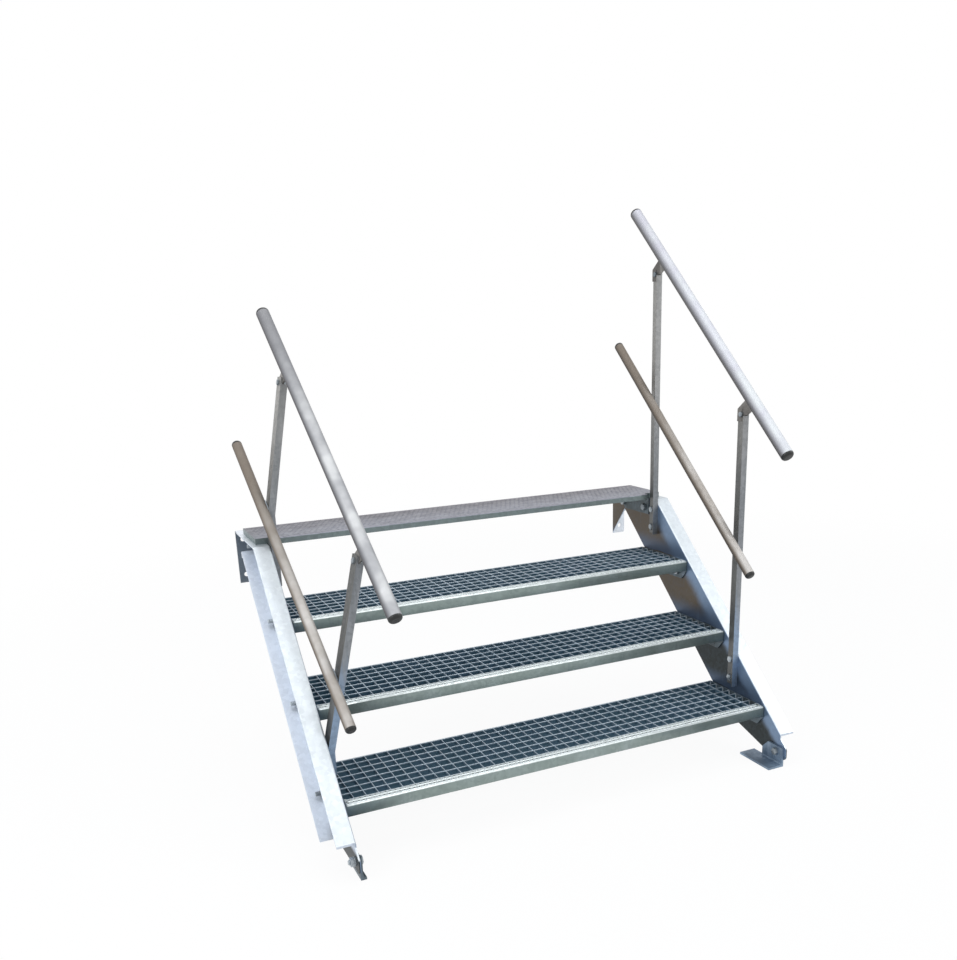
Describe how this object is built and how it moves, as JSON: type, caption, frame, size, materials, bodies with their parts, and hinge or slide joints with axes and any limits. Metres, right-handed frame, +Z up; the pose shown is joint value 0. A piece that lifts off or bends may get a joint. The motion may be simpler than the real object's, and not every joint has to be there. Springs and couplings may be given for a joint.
{
  "type": "outdoor steel stair",
  "caption": "Straight outdoor stair of galvanised steel: grating treads and a landing plate on folded channel stringers, with angle posts, a round handrail and a knee rail on each side.",
  "frame": {"origin": "middle of the right stringer's wall flange, on the face that lies against the wall", "axes": "+X to the right across the stair seen from the bottom, +Y up the stair and into the wall, +Z up"},
  "size_m": [1.29, 0.893, 1.4944],
  "materials": {
    "galvanised_sheet": "satin",
    "galvanised_grating": "satin",
    "galvanised_nosing": "satin",
    "galvanised_landing": "satin",
    "galvanised_angle": "satin",
    "galvanised_tube": "satin",
    "zinc_bolt": "satin",
    "black_cap": "matte"
  },
  "bodies": {
    "root": {"stringer_left": "galvanised_sheet", "foot_left": "galvanised_sheet", "foot_bolt_left": "zinc_bolt", "tread_bolts_left": "zinc_bolt", "post_bolts_left": "zinc_bolt", "head_bolts_left": "zinc_bolt", "post_left_front": "galvanised_angle", "rail_head_left_front": "galvanised_angle", "post_left_back": "galvanised_angle", "rail_head_left_back": "galvanised_angle", "handrail_left": "galvanised_tube", "knee_rail_left": "galvanised_tube", "handrail_caps_left": "black_cap", "knee_rail_caps_left": "black_cap", "stringer_right": "galvanised_sheet", "foot_right": "galvanised_sheet", "foot_bolt_right": "zinc_bolt", "tread_bolts_right": "zinc_bolt", "post_bolts_right": "zinc_bolt", "head_bolts_right": "zinc_bolt", "post_right_front": "galvanised_angle", "rail_head_right_front": "galvanised_angle", "post_right_back": "galvanised_angle", "rail_head_right_back": "galvanised_angle", "handrail_right": "galvanised_tube", "knee_rail_right": "galvanised_tube", "handrail_caps_right": "black_cap", "knee_rail_caps_right": "black_cap", "tread_1_grating": "galvanised_grating", "tread_1_nosing": "galvanised_nosing", "tread_1_end_plates": "galvanised_sheet", "tread_2_grating": "galvanised_grating", "tread_2_nosing": "galvanised_nosing", "tread_2_end_plates": "galvanised_sheet", "tread_3_grating": "galvanised_grating", "tread_3_nosing": "galvanised_nosing", "tread_3_end_plates": "galvanised_sheet", "landing_plate": "galvanised_landing", "landing_brackets": "galvanised_sheet"}
  },
  "joints": []
}
